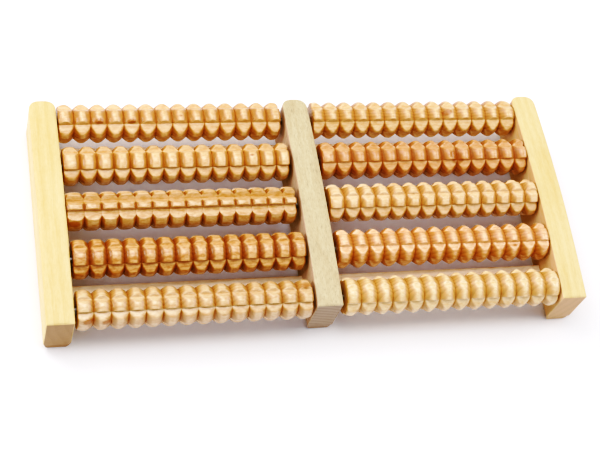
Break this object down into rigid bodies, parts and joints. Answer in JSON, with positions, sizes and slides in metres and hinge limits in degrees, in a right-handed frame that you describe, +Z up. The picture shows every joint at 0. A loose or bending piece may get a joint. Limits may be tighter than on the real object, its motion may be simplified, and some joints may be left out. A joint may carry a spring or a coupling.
{
  "type": "foot massage roller",
  "caption": "Flat wooden foot massager: knobbed rollers turn freely on steel rods held between low arched rails, with one bank of rollers for each foot.",
  "frame": {"origin": "on the surface it stands on, under the middle of the centre rail", "axes": "+X along the rods towards the right foot's rollers, +Y along the rails away from the user towards their rounded ends, +Z up"},
  "size_m": [0.28, 0.125, 0.0335],
  "materials": {
    "end_rail_wood": "sanded, oiled satin",
    "centre_rail_wood": "sanded satin, fine fleck",
    "crossbar_wood": "sawn and sanded",
    "roller_wood_tan": "turned and milled, light gloss",
    "roller_wood_light": "turned and milled, light gloss",
    "roller_wood_golden": "turned and milled, light gloss",
    "roller_wood_amber": "turned and milled, light gloss",
    "roller_wood_pink": "turned and milled, light gloss",
    "rod_steel": "drawn rod",
    "brad_steel": "bright nail"
  },
  "bodies": {
    "frame": {"left_rail": "end_rail_wood", "centre_rail": "centre_rail_wood", "right_rail": "end_rail_wood", "front_crossbar": "crossbar_wood", "rear_crossbar": "crossbar_wood", "axle_rod_1": "rod_steel", "axle_rod_2": "rod_steel", "axle_rod_3": "rod_steel", "axle_rod_4": "rod_steel", "axle_rod_5": "rod_steel", "brad_front_left": "brad_steel", "brad_front_centre": "brad_steel", "brad_front_right": "brad_steel", "brad_rear_left": "brad_steel", "brad_rear_centre": "brad_steel", "brad_rear_right": "brad_steel"},
    "roller_left_1": {"roller_left_1": "roller_wood_tan"},
    "roller_left_2": {"roller_left_2": "roller_wood_tan"},
    "roller_left_3": {"roller_left_3": "roller_wood_golden"},
    "roller_left_4": {"roller_left_4": "roller_wood_amber"},
    "roller_left_5": {"roller_left_5": "roller_wood_light"},
    "roller_right_1": {"roller_right_1": "roller_wood_tan"},
    "roller_right_2": {"roller_right_2": "roller_wood_pink"},
    "roller_right_3": {"roller_right_3": "roller_wood_light"},
    "roller_right_4": {"roller_right_4": "roller_wood_pink"},
    "roller_right_5": {"roller_right_5": "roller_wood_light"}
  },
  "joints": [
    {"name": "spin_left_1", "type": "hinge", "parent": "frame", "child": "roller_left_1", "pos_m": [-0.0673, 0.0524, 0.02125], "axis": [1, 0, 0], "continuous": true},
    {"name": "spin_left_2", "type": "hinge", "parent": "frame", "child": "roller_left_2", "pos_m": [-0.067, 0.0262, 0.02294], "axis": [1, 0, 0], "continuous": true},
    {"name": "spin_left_3", "type": "hinge", "parent": "frame", "child": "roller_left_3", "pos_m": [-0.0675, 0, 0.0235], "axis": [1, 0, 0], "continuous": true},
    {"name": "spin_left_4", "type": "hinge", "parent": "frame", "child": "roller_left_4", "pos_m": [-0.0666, -0.0262, 0.02294], "axis": [1, 0, 0], "continuous": true},
    {"name": "spin_left_5", "type": "hinge", "parent": "frame", "child": "roller_left_5", "pos_m": [-0.0666, -0.0524, 0.02125], "axis": [1, 0, 0], "continuous": true},
    {"name": "spin_right_1", "type": "hinge", "parent": "frame", "child": "roller_right_1", "pos_m": [0.0675, 0.0524, 0.02125], "axis": [1, 0, 0], "continuous": true},
    {"name": "spin_right_2", "type": "hinge", "parent": "frame", "child": "roller_right_2", "pos_m": [0.0676, 0.0262, 0.02294], "axis": [1, 0, 0], "continuous": true},
    {"name": "spin_right_3", "type": "hinge", "parent": "frame", "child": "roller_right_3", "pos_m": [0.0673, 0, 0.0235], "axis": [1, 0, 0], "continuous": true},
    {"name": "spin_right_4", "type": "hinge", "parent": "frame", "child": "roller_right_4", "pos_m": [0.0677, -0.0262, 0.02294], "axis": [1, 0, 0], "continuous": true},
    {"name": "spin_right_5", "type": "hinge", "parent": "frame", "child": "roller_right_5", "pos_m": [0.0677, -0.0524, 0.02125], "axis": [1, 0, 0], "continuous": true}
  ]
}
